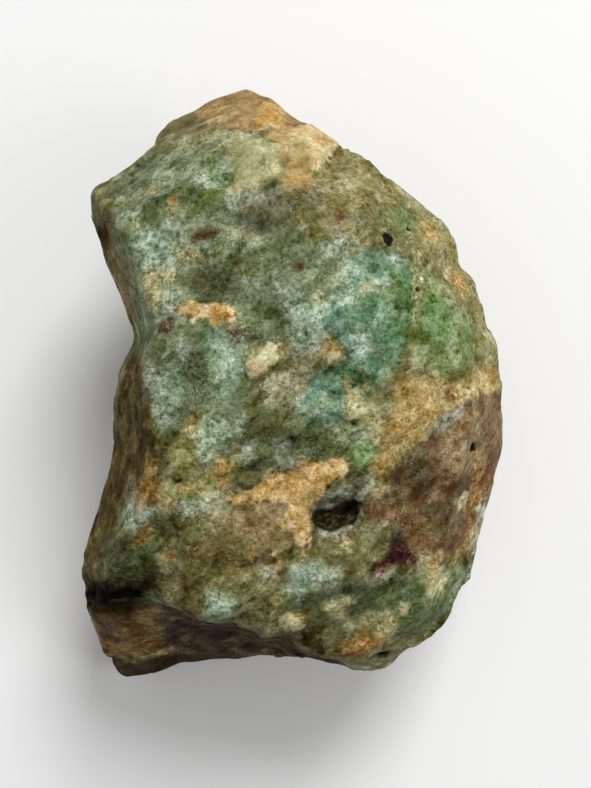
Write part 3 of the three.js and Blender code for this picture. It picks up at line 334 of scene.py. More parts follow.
# Small spots: centre x and y, half width and half height in mm, and turn in degrees.
SPOTS = {
    "pale": [
        (-20.5, 29, 0.9, 0.6, 30), (-23.5, 26.5, 1, 0.7, 10), (-21, 22.5, 2.6, 1.6, 15),
        (-17.5, 24.5, 1.4, 0.9, -10), (-20.5, 20, 2.3, 1.3, 5), (-18, 19, 1.2, 0.7, 0),
        (-23, -17, 2.1, 2.5, 20), (-12.5, 31, 2, 1.3, 20), (-10, 33, 1.5, 1.5, 20),
        (2.5, 9.5, 2, 2.8, 40), (0, 11, 1.4, 3.1, 20), (-1, 15, 1.7, 1.3, 0),
        (-19.5, 1.5, 2, 2.9, 10), (-18.5, -2.5, 1.2, 1.2, 0), (-18, 13.5, 1.2, 2.9, 0),
        (-9, 6.5, 1.3, 2.8, -8), (-10.5, 8, 1, 1.3, 0), (-11, -5, 1.7, 2, 20),
        (-13, -7, 1.1, 2.3, 0), (-7.5, -3.5, 1.1, 0.9, 0), (4, -2, 1.4, 1.1, 10),
        (1, -1.5, 0.9, 0.7, 0), (1.5, 7, 1.4, 0.9, 20), (9, 18, 1.7, 1.1, 20),
        (12.5, 16.5, 1.4, 1.1, 30), (15, 19.5, 1.2, 1.2, 0), (10, 7.5, 0.9, 2, 0),
        (23, -3.5, 2.4, 1, 38), (2, -26, 2, 1.5, 15), (6, -26, 1.4, 0.7, 10),
        (1, -28.5, 1.2, 1.2, 0), (29, -31, 1.3, 2.3, 0), (29.5, -20, 0.8, 2.4, -12),
        (-10.5, -30.5, 1.9, 1.7, 10), (-14, -16, 2.3, 0.9, 12), (-1, -10, 1.4, 0.7, 20),
        (-1.5, -7.5, 0.7, 0.6, 0), (-8.5, 27.5, 1.4, 1.1, 0), (-6.5, 28.5, 1.7, 0.9, 0),
        (1, 24, 0.7, 0.7, 0), (-6.5, -9.5, 0.4, 1.2, 0), (5.5, -19.5, 1.7, 1, 20),
        (8.5, -18.5, 1.2, 0.6, 10), (15, -26.5, 1.5, 0.4, -2), (-3.5, -26, 0.9, 0.9, 0),
        (5.5, 21, 2, 1.1, 20), (7, 13.5, 2, 1.1, 30), (-16, 6.5, 0.9, 1.4, 0),
    ],
    "cream": [
        (-20, 15, 1.3, 2.9, 8), (-17.5, 17, 1, 1.2, 0), (-15, 20, 1.1, 1, 0),
        (-13.5, 20, 0.6, 0.7, 0), (-4.5, 4.5, 1.8, 2.1, -30), (-4, 6, 1.6, 1.3, -30),
        (1.5, 24.5, 0.6, 0.6, 0), (-3.5, 32.5, 0.9, 0.9, 0), (-6, 30, 2, 0.6, 6),
        (-1, 30, 0.9, 0.4, 0), (14, -34, 1.6, 1.5, 30), (16.5, -32, 0.9, 0.9, 0),
        (7.5, -30.5, 1.8, 0.9, 20), (0.5, -33.5, 1.2, 0.9, 0), (22, -28.5, 0.9, 1.8, 0),
        (22, -24.5, 1.2, 0.6, 0), (5.5, 6, 1.3, 1.1, 0), (9, -0.5, 1, 2.3, -18),
        (8, 0, 0.6, 0.9, 0), (12.5, -5.5, 1.2, 0.9, 20), (15, -7.5, 1.2, 0.7, 30),
        (26, 0.5, 3, 0.9, 25), (21.5, 0.5, 1.5, 0.6, 20), (18, 14.5, 0.4, 4.7, -2),
        (26, -16, 1.2, 0.8, 20), (12.5, -13.5, 1.2, 1, 10), (-23, 25, 0.7, 0.9, 0),
        (3.5, 13.5, 1.1, 0.6, 40), (5, 36.5, 1.5, 2.1, -30), (1, 38.5, 1.4, 1.2, 0),
        (7, -22.5, 1.3, 0.7, 30), (-16, -6.5, 0.4, 1.7, 8), (-14.5, -5, 0.9, 1.1, 0),
        (19, 34, 1.6, 0.8, -35), (-4, 40, 1.5, 0.4, 0), (-11.5, 42.5, 1.8, 0.6, 10),
        (11, 15.5, 0.9, 0.6, 30),
    ],
    "dark": [
        (-5.5, 24.5, 1.6, 1.3, 0), (-7, 26, 1.1, 0.9, 0), (-10.5, 15, 3.5, 1.9, -4),
        (-12.5, 17, 1.7, 1, 0), (-11.5, 13.5, 2.3, 0.9, -4), (-6.5, 8.5, 2, 1.1, -20),
        (-0.5, 11, 1, 0.7, 0), (1, 29, 1.1, 0.6, -20), (3, 28, 1.4, 2, -30), (0, 27.5, 0.7, 1.4, 0),
        (5.5, 3.5, 1.4, 1.7, -20), (7.5, 5, 1.7, 1.4, 0), (10, 2.5, 2, 1.1, 0), (12, 6, 1.1, 2, 0),
        (15.5, 13, 1.3, 1.7, 0), (-14, 4, 1.7, 2.6, 12), (-15, 6, 1.1, 1.1, 0),
        (-4.5, -9.5, 1.4, 1, 20), (-7, -13.5, 2.3, 0.6, 18), (1, -6.5, 2.6, 0.9, 10),
        (6, -13.5, 2.6, 1, 22), (9, -13, 1.3, 1.4, 0), (3.5, -15, 1.3, 1.2, 20),
        (18.5, -10.5, 2.1, 1.8, 30), (16.5, -8.5, 1.2, 1.2, 0), (22.5, -17, 3, 0.9, 12),
        (26, -19, 1.2, 0.6, 20), (15.5, -20.5, 1, 1.8, 0), (5.5, 9, 1.1, 1.4, 0),
        (-12, 23, 1.4, 0.9, 0), (-15, 28.5, 2, 0.6, -16), (-7.5, 21, 1.7, 0.9, -20),
        (-9.5, 30, 1.7, 0.6, 20), (-18.5, 12.5, 1.4, 0.6, 0), (-25, 33.5, 1.4, 1.2, 20),
        (-23.5, 35, 1.1, 0.6, 0), (-26, -24.5, 2.1, 2.4, 0), (8.5, -25.5, 1.7, 0.7, 15),
        (9, -28, 2, 1, 10), (15, -28, 3, 0.9, 4), (-6, -24, 1.7, 0.7, 20), (-14, -30, 0.9, 1.3, 0),
        (14, -40, 1.2, 0.5, 0), (2.5, -35.5, 1.9, 0.6, -8), (8, -35, 1.2, 0.6, 0),
        (-11, -24, 2, 0.6, 20), (10, 26, 1.2, 0.6, 20),
    ],
    "ochre": [
        (-12.5, 12, 3.4, 0.9, -6), (-11, 11, 2.3, 0.6, -6), (-14.5, 12.5, 1.3, 0.7, 0),
        (-0.5, -13, 4.9, 1.4, 24), (4, -11.5, 3.7, 1.2, 18), (-4.5, -14.5, 2.9, 0.7, 18),
        (2, -17, 1.7, 2.3, 10), (1, -20, 1.4, 2, 10), (7, -11, 1.7, 0.7, 10),
        (-10, -10.5, 1.3, 0.9, -30), (-11.5, -11.5, 0.9, 0.7, 0), (-14, -3.5, 1, 0.9, 30),
        (-21, 30, 1.5, 0.4, -16), (-17.5, 28, 1, 1.6, 10), (-19.5, 27.5, 0.6, 0.4, 0),
        (-3.5, 43.5, 2.2, 1.6, -10), (-5, 46, 1.6, 0.8, 0), (-0.5, 41, 1.8, 0.8, -30),
        (-13.5, 44.5, 1.6, 0.6, 28), (14.5, 32.5, 0.9, 0.5, 0), (11.5, 29, 0.9, 0.6, 0),
        (9, 29.5, 0.6, 0.4, 0), (25.5, 18, 0.9, 1.4, 20), (-18, -23.5, 0.6, 0.9, -20),
        (-15, -22, 0.6, 0.6, 0), (-12.5, -21.5, 0.7, 0.4, 0), (-21, -11.5, 1.2, 3.2, -6),
        (-22.5, -15.5, 1.5, 1.2, 0), (-22.5, -21.5, 1, 0.7, 0), (-26.5, -38, 0.8, 0.6, -40),
        (-26.5, -43.5, 3.4, 0.5, 6), (12, -37, 2.1, 1.2, 15), (8.5, -38.5, 2.4, 0.8, 10),
        (7, -32, 0.9, 0.6, 0), (29, -13, 0.9, 2.5, -14), (28, -23, 0.8, 3.5, -20),
        (24.5, -25.5, 1.2, 0.9, 0), (5.5, 7, 0.9, 1.3, 0), (-1.5, 7, 0.7, 0.9, 0),
        (16, -4.5, 1.7, 0.9, 35), (19.5, 0, 2.3, 0.7, 28), (24, -1.5, 2.1, 0.4, 30),
        (16.5, -6.5, 1.8, 0.7, 30), (10.5, 1.5, 0.6, 1, 0), (7.5, 2, 0.6, 1.1, 20),
        (1.5, 32.5, 1.5, 0.7, 0), (21, 25.5, 1.5, 1.9, 30), (-1, -18, 0.9, 1.2, 0),
        (-15.5, -13.5, 1.2, 0.6, 0), (-18, -16, 0.9, 0.6, 0), (21.5, -27, 0.6, 0.9, 0),
        (1, -32.5, 0.7, 0.7, 0), (-6, -22.5, 0.7, 0.6, 0), (28, -33, 1.3, 0.8, 30),
    ],
    "orange": [
        (-0.5, -13.5, 1.3, 1, 5), (3.5, -11.5, 0.7, 0.6, 0), (-11, 11.5, 1.1, 0.6, -6),
        (-3, -13, 0.9, 0.4, 20), (0, 31, 1, 1.2, 0), (-4, 42.5, 1.1, 0.6, 0),
        (-5, 4, 1.1, 0.7, -10), (6, 6.5, 0.6, 0.4, 0), (29, -16.5, 0.9, 1.1, -10),
        (28, -19.5, 0.5, 1.3, 0), (27, -24.5, 0.8, 1.1, 20), (11, -37.5, 1.2, 0.6, 20),
        (1.5, -22.5, 0.6, 0.7, 0), (-10, -10, 0.9, 0.6, -30), (-17.5, 28.5, 0.7, 0.9, 0),
        (-21.5, -14, 0.9, 0.9, 0), (-18, -23.5, 0.6, 0.7, 0), (28.5, -10, 0.5, 1.2, 0),
        (20, -2.5, 0.7, 0.6, 30), (23.5, 0, 0.6, 0.9, 10), (26, 17.5, 0.8, 1.4, 20),
        (21.5, -25, 0.7, 0.6, 0), (-21.5, -19.5, 0.6, 0.6, 0), (-10, -13, 0.7, 0.7, 0),
    ],
    "rust": [
        (-18, 10, 1.3, 1, 30), (7, 26, 0.9, 0.9, 20), (1, 18.5, 0.6, 0.7, -20),
        (-12.5, 23, 1.1, 0.6, 10), (7.5, -39.5, 2.1, 0.5, -4), (-29, 25, 0.9, 0.9, 0),
        (28.5, -19, 0.6, 1.3, 0), (-1.5, -11, 2, 0.4, 18), (1, -10.5, 1.2, 0.3, 22),
        (0.5, 42, 0.8, 0.6, 0), (-8.5, 9, 0.9, 0.4, 0), (-20.5, -15, 0.9, 0.9, 0),
        (-2, -27, 1.2, 0.3, 0), (-4.5, 2.5, 0.9, 0.3, 20), (23, 0.5, 0.6, 0.9, 0),
    ],
    "pit": [
        (14, 23, 0.7, 0.9, 0), (13.5, 23.5, 0.6, 0.4, 0), (14, 20.5, 0.2, 0.2, 0),
        (17.5, 25, 0.3, 0.3, 40), (-17, -12.5, 0.7, 0.4, 10), (0, -6.5, 0.4, 0.4, 0),
        (28, -8, 0.6, 0.6, 0), (2, -22, 0.3, 0.7, -30), (-7.5, 44, 0.3, 0.2, 0),
        (-12, 41.5, 0.3, 0.2, 0), (1, 37, 0.3, 0.2, 0), (6.5, 12, 0.3, 0.4, 0),
        (6.5, 11, 0.3, 0.3, 0), (14, -40, 0.9, 0.5, 0), (-16.5, 34, 0.2, 0.2, 0),
        (-24, 35.5, 0.3, 0.2, 0), (-25, 33, 0.3, 0.3, 0), (-26, 31, 0.2, 0.2, 0),
        (-22.5, 34, 0.2, 0.2, 0), (-14, -3, 0.3, 0.3, 0), (14.5, 33, 0.2, 0.2, 0),
        (18.5, 15.5, 0.3, 0.3, 0), (22, 6.5, 0.2, 0.2, 0), (29.5, 4, 0.2, 0.2, 0),
        (26.5, 1.5, 0.2, 0.2, 0), (16, -27.5, 0.2, 0.2, 0), (6.5, -27, 0.2, 0.2, 0),
        (14.5, 8.5, 0.2, 0.2, 0), (2, 8.5, 0.3, 0.3, 0), (-4.5, 33.5, 0.2, 0.2, 0),
        (-14, 37, 0.2, 0.2, 0), (-10, 36.5, 0.2, 0.2, 0), (-16.5, 30, 0.2, 0.2, 0),
        (9, -4, 0.4, 0.3, 0), (-6, -30, 0.7, 0.3, 20),
    ],
}

MM = 0.001  # a millimetre in metres

lump_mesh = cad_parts["amazonite"].data.copy()
lump_mesh.materials.clear()
merged = bmesh.new()
merged.from_mesh(lump_mesh)
bmesh.ops.remove_doubles(merged, verts=merged.verts, dist=0.001 * MM)
bmesh.ops.recalc_face_normals(merged, faces=merged.faces)
merged.to_mesh(lump_mesh)
merged.free()
lump = bpy.data.objects.new("amazonite_stone", lump_mesh)
bpy.context.scene.collection.objects.link(lump)


def bake_modifiers(piece):
    """Makes the piece's modifiers part of its mesh."""
    finished = piece.evaluated_get(bpy.context.evaluated_depsgraph_get())
    mesh = bpy.data.meshes.new_from_object(finished)
    piece.modifiers.clear()
    piece.data = mesh


def points_of(mesh):
    """The points of a mesh as rows of x, y and z in metres."""
    places = np.empty(len(mesh.vertices) * 3, "f")
    mesh.vertices.foreach_get("co", places)
    return places.reshape(-1, 3)


# Two rounds of subdivision bring the points to under half a millimetre apart.
# They also pull the surface in, so each point is first moved out by as much, in
# two goes.
fine = lump.modifiers.new("fine", "SUBSURF")
fine.levels = fine.render_levels = 2
corners = points_of(lump_mesh)
for _ in range(2):
    pulled = lump.evaluated_get(bpy.context.evaluated_depsgraph_get()).data
    out = points_of(lump_mesh) + corners - points_of(pulled)[: len(corners)]
    lump_mesh.vertices.foreach_set("co", out.ravel())
    lump_mesh.update()
    lump.update_tag()
    bpy.context.view_layer.update()
bake_modifiers(lump)
smoothed = points_of(lump.data)
smoothed[:, 2] = smoothed[:, 2].clip(0)
lump.data.vertices.foreach_set("co", smoothed.ravel())
lump.data.update()

places = points_of(lump.data) * 1000  # in mm
count = len(places)
normals = np.empty(count * 3, "f")
lump.data.vertex_normals.foreach_get("vector", normals)
facing_up = normals[2::3]


def swirls(size, small_size, share):
    """Cloudy noise at each point: lumps of one size in mm and a share of smaller ones."""
    spots = [Vector(spot) for spot in places]
    return np.array([noise.noise(at / size) + noise.noise(at / small_size) * share for at in spots])


# The outlines say nothing of the underside. It begins along a frayed edge where
# the surface turns down, and takes in the lowest 3 mm of the sides.
fray = swirls(5, 1.7, 0.4)
turned_down = np.clip(-0.4 + 0.45 * fray - facing_up, 0, 0.4)
low_down = np.clip((3 - places[:, 2]) / 1.5, 0, 2)
underside = 12 * turned_down + low_down

# The outlines are read a little aside of each point, so that an edge wanders
# as a natural one does. The seed makes it wander the same way in every run.
noise.seed_set(1)
aside = [noise.noise_vector(Vector(spot) / 1.3) * 0.45 for spot in places]
read_at = places[:, :2] + np.array(aside)[:, :2]
drift = swirls(3.2, 1.1, 0.6)

OUTSIDE = 9.0  # the depth of a point far outside every outline, in mm
MARGIN = 4  # an outline's depth is worked out this far around it, in mm
DEEPEST = 3  # and kept between plus and minus this, in mm


def depth_in(outlines):
    """How deep inside the outlines each point lies, in mm: minus outside them."""
    depth = np.full(count, -OUTSIDE)
    for outline in outlines:
        corners = np.array(outline, "f")
        low, high = corners.min(0) - MARGIN, corners.max(0) + MARGIN
        near = np.all((read_at > low) & (read_at < high), 1)
        x, y = read_at[near].T
        away, inside = np.full(x.size, OUTSIDE), np.zeros(x.size, bool)
        for (ax, ay), (bx, by) in zip(corners, np.roll(corners, -1, 0)):
            run, rise = bx - ax, by - ay
            along = np.clip(((x - ax) * run + (y - ay) * rise) / (run**2 + rise**2), 0, 1)
            away = np.minimum(away, np.hypot(x - ax - along * run, y - ay - along * rise))
            if rise != 0:
                inside ^= ((ay > y) != (by > y)) & (x < ax + (y - ay) * run / rise)
        depth[near] = np.maximum(depth[near], np.where(inside, away, -away))
    return np.clip(depth - underside, -DEEPEST, DEEPEST)


def depth_in_spots(spots):
    """How deep inside the small spots each point lies, in mm."""
    depth = np.full(count, -OUTSIDE)
    for x, y, half_width, half_height, turn in spots:
        near = np.all(np.abs(read_at - (x, y)) < max(half_width, half_height) + MARGIN, 1)
        c, s = np.cos(np.radians(turn)), np.sin(np.radians(turn))
        ring = (read_at[near] - (x, y)) @ ((c, -s), (s, c)) / (half_width, half_height)
        within = (1 - np.linalg.norm(ring, axis=1)) * min(half_width, half_height)
        depth[near] = np.maximum(depth[near], within)
    return np.clip(depth - underside, -DEEPEST, DEEPEST)


# The gloss of the stone lays its own white over each colour, so that much is
# left out of it, down to a darkest black.
GLOSS_WHITE = 0.01
DARKEST = 0.0005


def colour(code):
    """A colour written as six hexadecimal digits, as the renderer's linear light."""
    parts = [int(code[i : i + 2], 16) / 255 for i in (0, 2, 4)]
    light = [part / 12.92 if part < 0.04045 else ((part + 0.055) / 1.055) ** 2.4 for part in parts]
    return (*(max(part - GLOSS_WHITE, DARKEST) for part in light), 1.0)


# The broad shades melt into each other. Each has its edge's half width in mm and
# its dark, middle and light tone, and one is laid over the other in this order,
# with plain brown ground under them all and the underside's olive brown on top.
GROUND = "3e3418 6e6a44 9c9a70"
SHADES = (
    ("crown", 2.0, "566040 748060 94a07e"),
    ("thicket", 1.4, "5c643a 78805a 9eaa80"),
    ("leaf", 1.4, "62703e 768454 909c6e"),
    ("jade", 1.4, "466546 668a68 8caa8e"),
    ("teal", 2.0, "406450 648a74 8eac96"),
    ("deep", 1.5, "385640 588058 7c9a7c"),
    ("vivid", 1.8, "4c7036 648852 829a6e"),
    ("mint", 1.4, "70905a 90b078 aac496"),
    ("milk", 1.8, "66866a 88a686 a6bc9e"),
    # The hollow under the lobe's lip is darkened with painted shade.
    ("hollow", 1.0, "424b34 646c52 92967a"),
    ("dusk", 1.4, "3d3e22 585c3a 737b5a"),
    ("bottle", 1.2, "485230 566040 6c7450"),
    ("fir", 1.0, "445232 546440 6c7c56"),
    ("bulge", 2.0, "343a1c 4a5232 66704a"),
    ("moss", 1.0, "706c34 90905a acae7a"),
    ("olive", 0.8, "645e38 837c50 a39b74"),
    ("rim", 1.4, "847c4c 989060 b2a888"),
    # The flank's brown rind is darkened further with painted shade, for the side turned away from
    # the light.
    ("flank", 0.8, "3a2c0c 554420 70603a"),
    ("flanktop", 0.8, "62502a 7a6a3e 928262"),
    ("moor", 0.6, "5c5c2a 7a7850 9c9878"),
    ("heel", 0.8, "442e10 60441c 86642e"),
    # The sole and the wedge are dark brown rind and painted shade, for the faces that turn down
    # away from the light.
    ("sole", 0.9, "241809 3a2a16 54422a"),
    ("wedge", 0.6, "2e2010 3c2c18 4c3a22"),
    # The crease is painted shade: near black for the shadow in the deep recesses.
    ("crease", 2.2, "0e0602 1a0e04 2c1e0c"),
    ("sand", 1.0, "7a6646 a4906c c4b084"),
    ("fibrous", 1.0, "443c1c 6c6038 8a7c52"),
    ("smoky", 1.0, "70603e 98825a b8a682"),
    ("band", 1.1, "947a42 b29a64 cfba86"),
    ("quartz", 0.5, "44301c 664b32 8e7452"),
    ("umber", 1.2, "322412 564228 70583c"),
    ("glow", 1.2, "665436 8a7252 a8906e"),
    ("blush", 0.9, "6e5638 8a7050 aa9272"),
    ("sienna", 1.0, "44301a 624a2a 7c5c3a"),
    ("rustrim", 0.5, "603c1c 7c5634 98724c"),
    ("saddle", 1.4, "9e8450 b69e6a ccb688"),
    ("cyan", 1.2, "5e6c4c 7c8c68 98a48a"),
    ("chalk", 1.2, "6a654e 989676 beb898"),
    ("butter", 1.2, "8c8c5a c4be8c e0deb0"),
    ("amber", 0.8, "64461c 846a3c ac8e54"),
)
UNDERSIDE = "4c4026 6c5e3a 8c7e56"
STRAY = 0.8  # how far a shade's edge strays, in mm

tones = [np.tile(np.array(colour(code)[:3]), (count, 1)) for code in GROUND.split()]
layers = [(depth_in(OUTLINES[shade]), edge, codes) for shade, edge, codes in SHADES]
layers.append((2 * underside - 1, 1.0, UNDERSIDE))
for depth, edge, codes in layers:
    cover = np.clip((depth + STRAY * drift) / edge * 0.5 + 0.5, 0, 1)
    cover = (cover * cover * (3 - 2 * cover))[:, None]
    for tone, code in zip(tones, codes.split()):
        tone += (np.array(colour(code)[:3]) - tone) * cover
for name, tone in zip(("dark tone", "middle tone", "light tone"), tones):
    kept = lump.data.attributes.new(name, "FLOAT_VECTOR", "POINT")
    kept.data.foreach_set("vector", tone.ravel())

# The crisp minerals and spots are kept as depths, and the material draws their
# edges. So are the quartz, the worn flank and the crease, whose gloss differs,
# and the weathered parts, which are smoother.
CRISP = ("cap", "tail", "honey", "lobe", "knob", "slate", "sliver", "facet", "nodule", "vein",
         "sugar", "garnet", "cave")
WEATHERED = ("cap", "tail", "honey", "lobe", "knob", "saddle", "nodule")
depths = {mineral: depth_in(OUTLINES[mineral]) for mineral in (*CRISP, "quartz", "flank", "crease")}
depths["weathered"] = depth_in([outline for mineral in WEATHERED for outline in OUTLINES[mineral]])
depths.update({kind: depth_in_spots(spots) for kind, spots in SPOTS.items()})
depths["crown side"] = np.clip((facing_up - 0.25) / 0.5, 0, 1)
for mineral, depth in depths.items():
    kept = lump.data.attributes.new(mineral, "FLOAT", "POINT")
    kept.data.foreach_set("value", depth.astype("f"))


class Wire:
    """A socket of a node tree that can be reckoned with as a number."""

    def __init__(self, tree, socket=None):
        self.tree, self.socket = tree, socket

    def node(self, kind, settings=None, inputs=None, output=0):
        """Adds a node, with its settings first and then the values or links of its sockets."""
        made = self.tree.nodes.new(kind)
        for name, value in (settings or {}).items():
            if name == "stops":
                ramp = made.color_ramp
                while len(ramp.elements) < len(value):
                    ramp.elements.new(1)
                for stop, (spot, tone) in zip(ramp.elements, value):
                    stop.position, stop.color = spot, tone
            else:
                setattr(made, name, value)
        for name, value in (inputs or {}).items():
            if isinstance(value, Wire):
                self.tree.links.new(value.socket, made.inputs[name])
            else:
                made.inputs[name].default_value = value
        return Wire(self.tree, made.outputs[output])

    def math(self, operation, first, second=0.0):
        return self.node("ShaderNodeMath", {"operation": operation}, {0: first, 1: second})

    def __add__(self, other):
        return self.math("ADD", self, other)

    def __sub__(self, other):
        return self.math("SUBTRACT", self, other)

    def __rsub__(self, other):
        return self.math("SUBTRACT", other, self)

    def __mul__(self, other):
        return self.math("MULTIPLY", self, other)

    __radd__, __rmul__ = __add__, __mul__

    def step(self, low, high):
        """0 below low and 1 above high, with a soft bend between them."""
        settings = {"interpolation_type": "SMOOTHSTEP"}
        return self.node("ShaderNodeMapRange", settings, {0: self, 1: low, 2: high})

    def scaled(self, by):
        """A vector times a number, or times a vector."""
        if isinstance(by, tuple):
            return self.node("ShaderNodeVectorMath", {"operation": "MULTIPLY"}, {0: self, 1: by})
        return self.node("ShaderNodeVectorMath", {"operation": "SCALE"}, {0: self, "Scale": by})

    def moved(self, by):
        """A vector with another one added to it."""
        return self.node("ShaderNodeVectorMath", {"operation": "ADD"}, {0: self, 1: by})

    def turned(self, degrees):
        """A vector turned about the upright axis."""
        inputs = {0: self, "Angle": degrees * 3.14159 / 180}
        return self.node("ShaderNodeVectorRotate", {"rotation_type": "Z_AXIS"}, inputs)

    def noise(self, size, detail=2.0, rough=0.5, output=0):
        """Cloudy noise with lumps of about this size, in mm."""
        inputs = {"Vector": self, "Scale": 1 / size, "Detail": detail, "Roughness": rough}
        return self.node("ShaderNodeTexNoise", {"noise_dimensions": "3D"}, inputs, output)

    def bent(self, size, by):
        """Places pushed aside by up to half of by, in swirls of this size, in mm."""
        swirl = self.noise(size, 2.0, output="Color").moved((-0.5, -0.5, -0.5))
        return self.moved(swirl.scaled(by))

    def cells(self, size, output="Color"):
        """Angular grains of about this size: each one's random colour, or its centre."""
        settings = {"voronoi_dimensions": "3D", "feature": "F1"}
        inputs = {"Vector": self, "Scale": 1 / size, "Randomness": 1.0}
        return self.node("ShaderNodeTexVoronoi", settings, inputs, output)

    def channel(self, name):
        """One number out of a random colour."""
        return self.node("ShaderNodeSeparateColor", None, {0: self}, name)

    def chips(self, size):
        """Flat chips of about this size, each tilted its own way: their height, -0.5 to 0.5."""
        tilt = self.cells(size).moved((-0.5, -0.5, -0.5))
        kind, centre = "ShaderNodeVectorMath", self.cells(size, "Position")
        offset = self.node(kind, {"operation": "SUBTRACT"}, {0: self, 1: centre})
        lean = self.node(kind, {"operation": "DOT_PRODUCT"}, {0: offset, 1: tilt}, "Value")
        return lean * (1.0 / size)


# The relief: chipped cleavage steps, grains that stand proud, crumbs on the
# vein and pits, all as a push along the surface. It fades out at the flat back.
relief = bpy.data.node_groups.new("relief", "GeometryNodeTree")
relief.interface.new_socket("Geometry", in_out="INPUT", socket_type="NodeSocketGeometry")
for name in ("Chip height", "Ledge height", "Grain height", "Crumb height", "Pit depth"):
    relief.interface.new_socket(name, in_out="INPUT", socket_type="NodeSocketFloat")
relief.interface.new_socket("Stone", in_out="INPUT", socket_type="NodeSocketMaterial")
relief.interface.new_socket("Geometry", in_out="OUTPUT", socket_type="NodeSocketGeometry")
entry = relief.nodes.new("NodeGroupInput")
way_out = relief.nodes.new("NodeGroupOutput")
tree = Wire(relief)


def given(name):
    """One of the tree's named inputs."""
    return Wire(relief, entry.outputs[name])


def grown(mineral, soft=0.6):
    """How far inside a mineral the surface is: 0 well outside it and 1 well inside."""
    depth = tree.node("GeometryNodeInputNamedAttribute", {"data_type": "FLOAT"}, {"Name": mineral})
    return depth.step(-soft, soft)


def upward(vector):
    """The upright part of a vector."""
    return tree.node("ShaderNodeSeparateXYZ", None, {0: vector}, "Z")


TEETH = 0.21  # ledges to the millimetre, across the cleavage

place = tree.node("GeometryNodeInputPosition").scaled(1 / MM)
bent = place.bent(6, 3.0)
along = bent.turned(-30).scaled((0.5, 1.3, 1.0))
smooth = grown("quartz")
crumbly = grown("vein")
weathered = grown("weathered")
push = (along.chips(5.5) * 1.5 + bent.chips(2.4) * 0.35) * given("Chip height")
push = push * (1 - 0.6 * smooth) * (1 - 0.5 * weathered)
across = tree.node("ShaderNodeSeparateXYZ", None, {0: along}, "Y")
ledged = bent.noise(7, 1.0).step(0.45, 0.6) * (1 - smooth)
push = push + (tree.math("FRACT", across * TEETH) - 0.5) * given("Ledge height") * ledged
push = push + (bent.noise(1.4, 2.0) - 0.5) * given("Grain height") * (1 - 0.5 * smooth)
push = push + (bent.noise(0.9, 2.0) - 0.4) * given("Crumb height") * crumbly
push = push + (bent.noise(3.0, 2.0) - 0.5) * 0.9 * weathered
push = push + (grown("nodule", 0.4) + grown("lobe", 0.5) + grown("knob", 0.4)) * 0.5
push = push + grown("vein", 0.4) * 0.3 - grown("crease") * 0.5
push = push - (grown("pit") + grown("cave") * 0.9) * given("Pit depth")
# The crown is broken and rough, while the sides are worn smoother.
normal = tree.node("GeometryNodeInputNormal")
push = push * (0.35 + 0.65 * upward(normal).step(0.05, 0.7))
offset = normal.scaled(push * upward(place).step(0.4, 4.0) * MM)
moves = {"Geometry": given("Geometry"), "Offset": offset}
shape = tree.node("GeometryNodeSetPosition", None, moves)
shape = tree.node("GeometryNodeSetShadeSmooth", None, {"Geometry": shape, "Shade Smooth": True})
shape = tree.node("GeometryNodeRealizeInstances", None, {"Geometry": shape})
shape = tree.node("GeometryNodeSetMaterial", None, {"Geometry": shape, "Material": given("Stone")})
relief.links.new(shape.socket, way_out.inputs[0])

# The material of the stone.
stone = bpy.data.materials.new("stone")
stone.use_nodes = True
stone.node_tree.nodes.clear()
tree = Wire(stone.node_tree)


def mixed(mask, first, second):
    """The first colour where the mask is 0, and the second where it is 1."""
    settings = {"data_type": "RGBA", "clamp_factor": True}
    return tree.node("ShaderNodeMix", settings, {0: mask, 6: first, 7: second}, 2)


def ramp(value, codes):
    """A run of colours from dark to light, evenly spaced."""
    codes = codes.split()
    stops = [(i / (len(codes) - 1), colour(code)) for i, code in enumerate(codes)]
    return tree.node("ShaderNodeValToRGB", {"stops": stops}, {0: value})


# Clouds, plates and grains of every size in mm, leaning along the cleavage, each
# of them about -0.5 to 0.5.
place = tree.node("ShaderNodeTexCoord", None, None, "Object").scaled(1 / MM)
bent = place.bent(3.0, 2.2)
easy = place.scaled((1.0, 1.0, 0.5)).bent(5.0, 1.0)
lean = easy.turned(-35).scaled((0.62, 1.0, 1.0))
broad = bent.noise(5.0, 2.0) - 0.5
middle = lean.noise(1.2, 2.0, 0.55) - 0.5
small = easy.noise(0.6, 2.0, 0.65) - 0.5
grain = place.noise(0.23, 1.0) - 0.5
other = bent.turned(70).noise(4.0, 2.0) - 0.5
third = bent.turned(140).noise(2.6, 2.0) - 0.5
plate = lean.cells(0.8).channel("Red") - 0.5
crystals = easy.cells(0.42).channel("Green") - 0.5
streak = lean.noise(0.42, 2.0, 0.6) - 0.5
upright = easy.scaled((1.0, 0.45, 0.8)).noise(0.5, 2.0, 0.6) - 0.5
slabs = place.bent(1.6, 0.9).turned(-35).scaled((0.6, 1.0, 0.8))
blocks = slabs.cells(1.5).channel("Blue") - 0.5

# They are put together for the tones of the shades, the minerals and the spots,
# and for the wandering of an edge.
fine_cloud = 0.5 + middle * 0.9 + small * 1.2 + plate * 0.3
rubble = 0.5 + blocks * 0.5 + middle * 0.8 + small * 0.35
cloud = 0.5 + broad * 1.2 + middle * 0.4 + third * 0.35 + blocks * 0.2
wander = broad * 3.0 + middle * 2.0 + small * 0.4


def painted(name):
    """One of the three tones that the shades left on the surface."""
    return tree.node("ShaderNodeAttribute", {"attribute_name": name}, None, "Vector")


def part(mineral):
    """How deep inside a mineral this spot is, in mm."""
    return tree.node("ShaderNodeAttribute", {"attribute_name": mineral}, None, "Fac")


def shows(mineral, soft=0.2, ragged=1.0):
    """Where a mineral shows: half its edge's width, and how far the edge strays, in mm."""
    return (part(mineral) + wander * ragged).step(-soft, soft)


# The broad shades, darker or lighter in clouds and along the cleavage.
tint = mixed((0.45 - cloud) * 4, painted("middle tone"), painted("dark tone"))
tint = mixed((cloud - 0.5) * 4, tint, painted("light tone"))
